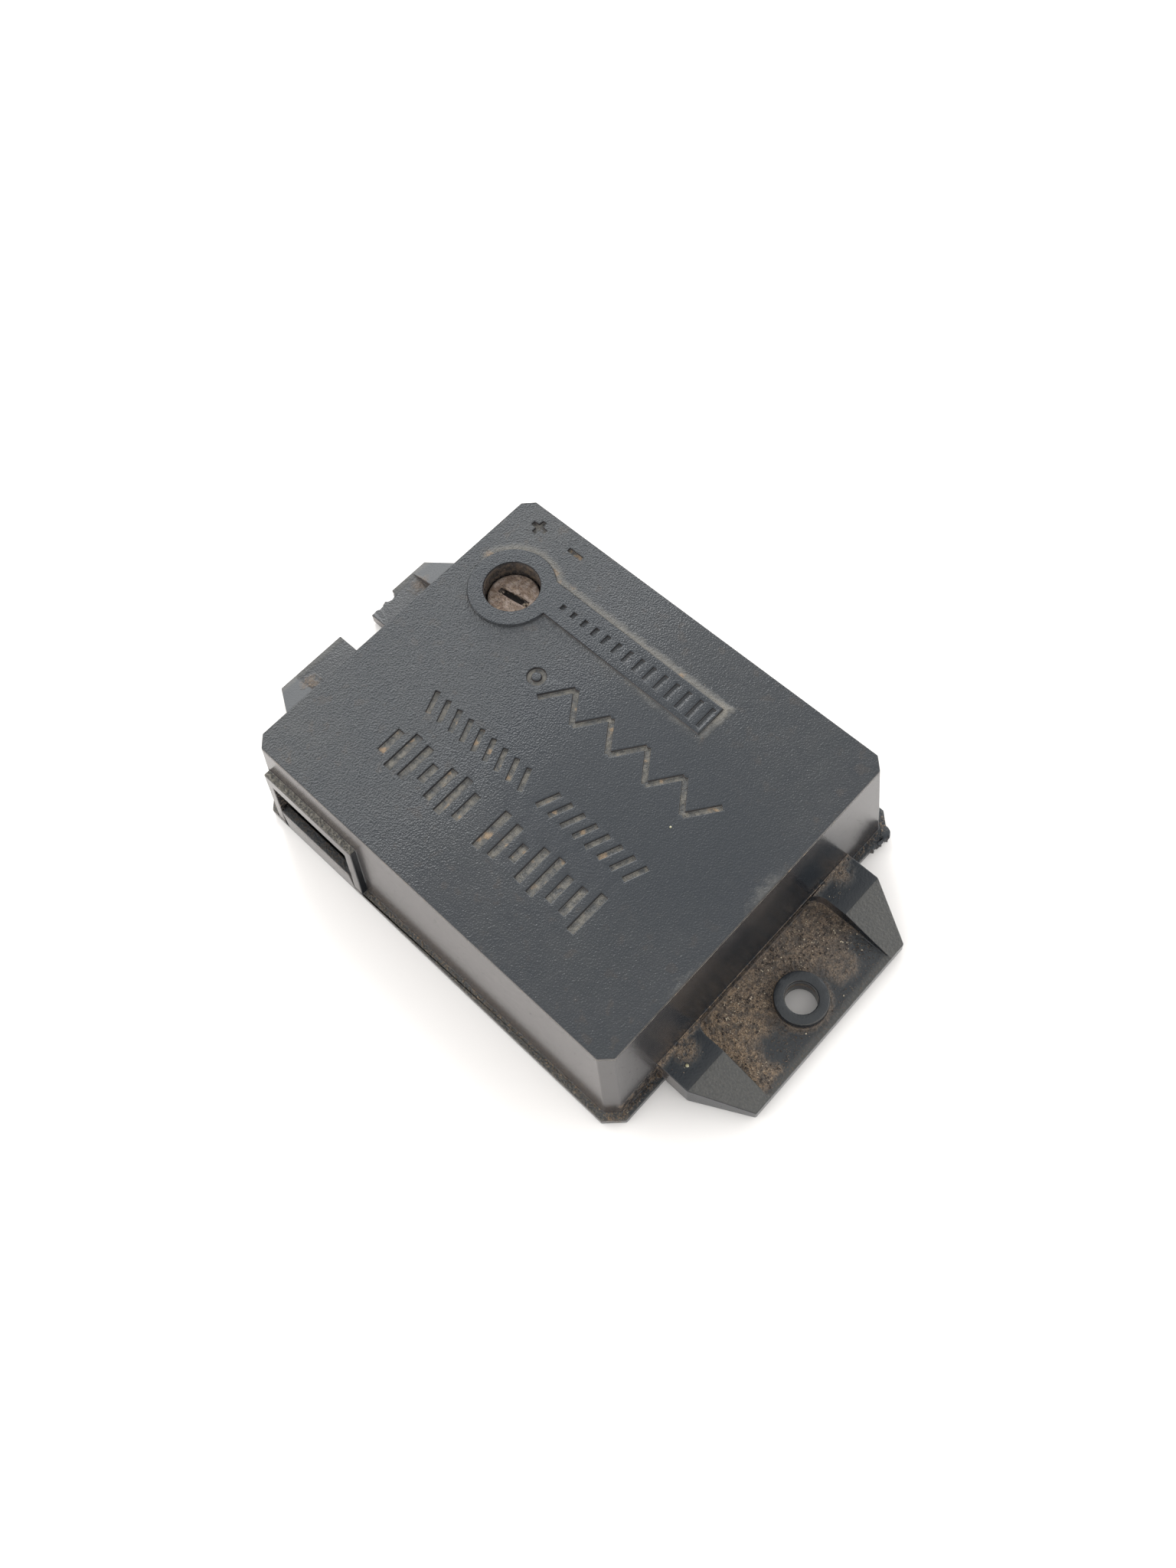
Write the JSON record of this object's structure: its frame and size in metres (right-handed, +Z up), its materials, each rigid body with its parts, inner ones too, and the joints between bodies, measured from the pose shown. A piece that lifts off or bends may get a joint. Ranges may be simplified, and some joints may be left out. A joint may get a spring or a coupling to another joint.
{
  "type": "glass-break sensor module",
  "caption": "Small black plastic sensor box with a screw ear at each end, one drilled and one slotted, a harness socket in its side and a screwdriver adjuster in its top.",
  "frame": {"origin": "centre of the underside, midway between the outer edges of the two ears", "axes": "+X towards the drilled ear, +Y away from the side with the harness socket, +Z up through the top face"},
  "size_m": [0.088, 0.0552, 0.0191],
  "materials": {
    "black_case": "fine moulded grain, dusty",
    "black_cover": "satin",
    "screw_steel": "zinc plated",
    "board_laminate": "solder mask",
    "solder": "bright",
    "header_nylon": "satin",
    "pin_plating": "bright",
    "trimmer_plastic": "satin",
    "carbon_track": "matt",
    "tinned_lead": "tinned",
    "rotor_plastic": "satin",
    "wiper_spring": "bright",
    "spindle_plastic": "dusty",
    "capsule_shell": "satin",
    "boot_rubber": "matt",
    "chip_epoxy": "matt",
    "can_aluminium": "satin",
    "sleeve_film": "gloss",
    "film_red": "gloss",
    "disc_ceramic": "satin",
    "resistor_lacquer": "satin",
    "diode_glass": "clear"
  },
  "bodies": {
    "case": {"upper_housing": "black_case", "bottom_cover": "black_cover", "cover_screws": "screw_steel", "board_screws": "screw_steel", "circuit_board": "board_laminate", "solder_joints": "solder", "connector_header": "header_nylon", "connector_pins": "pin_plating", "trimmer_body": "trimmer_plastic", "trimmer_track": "carbon_track", "trimmer_terminals": "tinned_lead", "microphone_capsule": "capsule_shell", "microphone_boot": "boot_rubber", "microphone_leads": "tinned_lead", "amplifier_chip": "chip_epoxy", "comparator_chip": "chip_epoxy", "chip_legs": "tinned_lead", "supply_capacitor": "can_aluminium", "signal_capacitors": "can_aluminium", "capacitor_sleeves": "sleeve_film", "film_capacitors": "film_red", "disc_capacitors": "disc_ceramic", "capacitor_leads": "tinned_lead", "resistors": "resistor_lacquer", "diodes": "diode_glass", "axial_leads": "tinned_lead", "transistors": "chip_epoxy", "transistor_legs": "tinned_lead"},
    "adjuster": {"trimmer_rotor": "rotor_plastic", "trimmer_wiper": "wiper_spring", "trimmer_spindle": "spindle_plastic"}
  },
  "joints": [
    {"name": "sensitivity_adjust", "type": "hinge", "parent": "case", "child": "adjuster", "pos_m": [-0.02214, 0.01327, 0.0165], "axis": [0, 0, 1], "range_deg": [-117.5, 117.5]}
  ]
}
